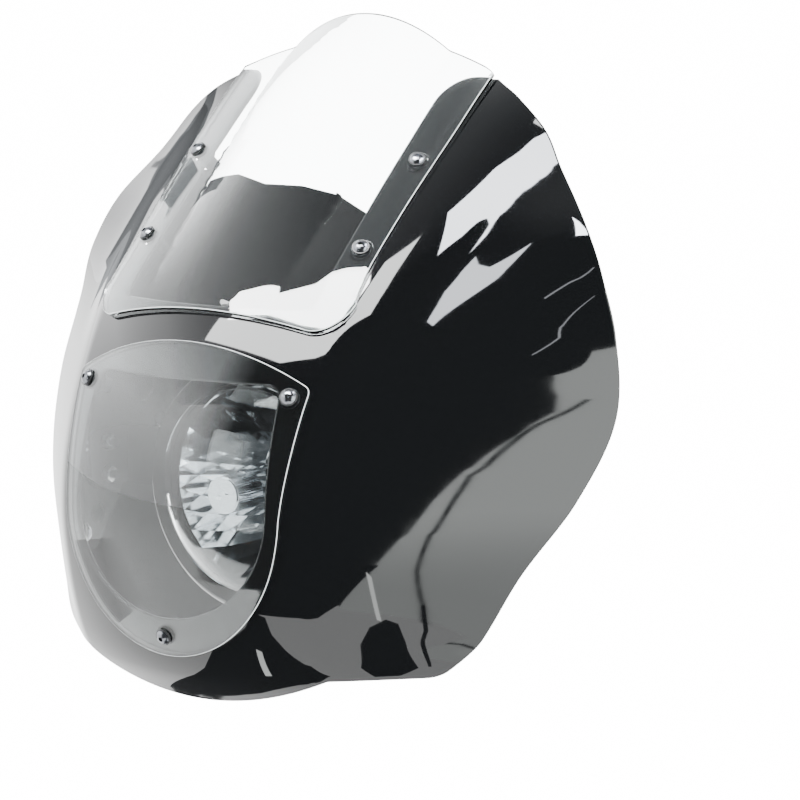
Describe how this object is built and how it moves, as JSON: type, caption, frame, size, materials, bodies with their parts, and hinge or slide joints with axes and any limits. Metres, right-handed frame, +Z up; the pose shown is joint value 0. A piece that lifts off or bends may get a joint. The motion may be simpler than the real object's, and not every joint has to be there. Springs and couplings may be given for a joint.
{
  "type": "headlight cowl",
  "caption": "Gloss black moulded headlight cowl with a clear bubble screen, a clear lamp window, a round lamp inside and bent side brackets clamped to a raked fork.",
  "frame": {"origin": "midway between the axes of the two fork tubes, level with the centre of the lamp", "axes": "+X to the rider's left, -Y forwards, +Z up; the fork axes lean back 30 degrees from +Z towards +Y"},
  "size_m": [0.448, 0.301, 0.4274],
  "materials": {
    "gloss_black_moulding": "gloss",
    "clear_acrylic": "clear, polished",
    "clear_lens": "clear, polished",
    "black_steel": "black coating, satin",
    "gloss_black_steel": "gloss black enamel",
    "zinc_steel": "zinc plated",
    "clamp_alloy": "satin",
    "brass": "turned",
    "black_rubber": "matte",
    "black_nylon": "matte",
    "black_plug": "matte",
    "bright_reflector": "vapour-deposited, bright"
  },
  "bodies": {
    "root": {"shell": "gloss_black_moulding", "flank_inserts": "brass", "screen": "clear_acrylic", "screen_screws": "black_steel", "screen_washers": "black_nylon", "screen_wellnuts": "black_rubber", "window": "clear_acrylic", "window_screws": "black_steel", "window_washers": "black_nylon", "window_wellnuts": "black_rubber", "wellnut_inserts": "brass", "bracket_left": "black_steel", "bracket_right": "black_steel", "bracket_screws": "black_steel", "bracket_washers": "zinc_steel", "clamp_front_halves": "clamp_alloy", "clamp_rear_halves": "clamp_alloy", "clamp_bolts": "black_steel", "clamp_washers": "zinc_steel", "clamp_nuts": "zinc_steel", "lamp_ears": "black_steel", "ear_bolts": "black_steel", "ear_nuts": "zinc_steel", "lamp_bolts": "black_steel", "lamp_washers": "zinc_steel", "bucket": "gloss_black_steel", "bezel": "gloss_black_steel", "bezel_screw": "black_steel", "lens": "clear_lens", "lens_gasket": "black_rubber", "reflector": "bright_reflector", "bulb_base": "zinc_steel", "bulb_glass": "clear_lens", "bulb_shield": "bright_reflector", "bulb_plug": "black_plug", "wire_grommet": "black_rubber"}
  },
  "joints": []
}
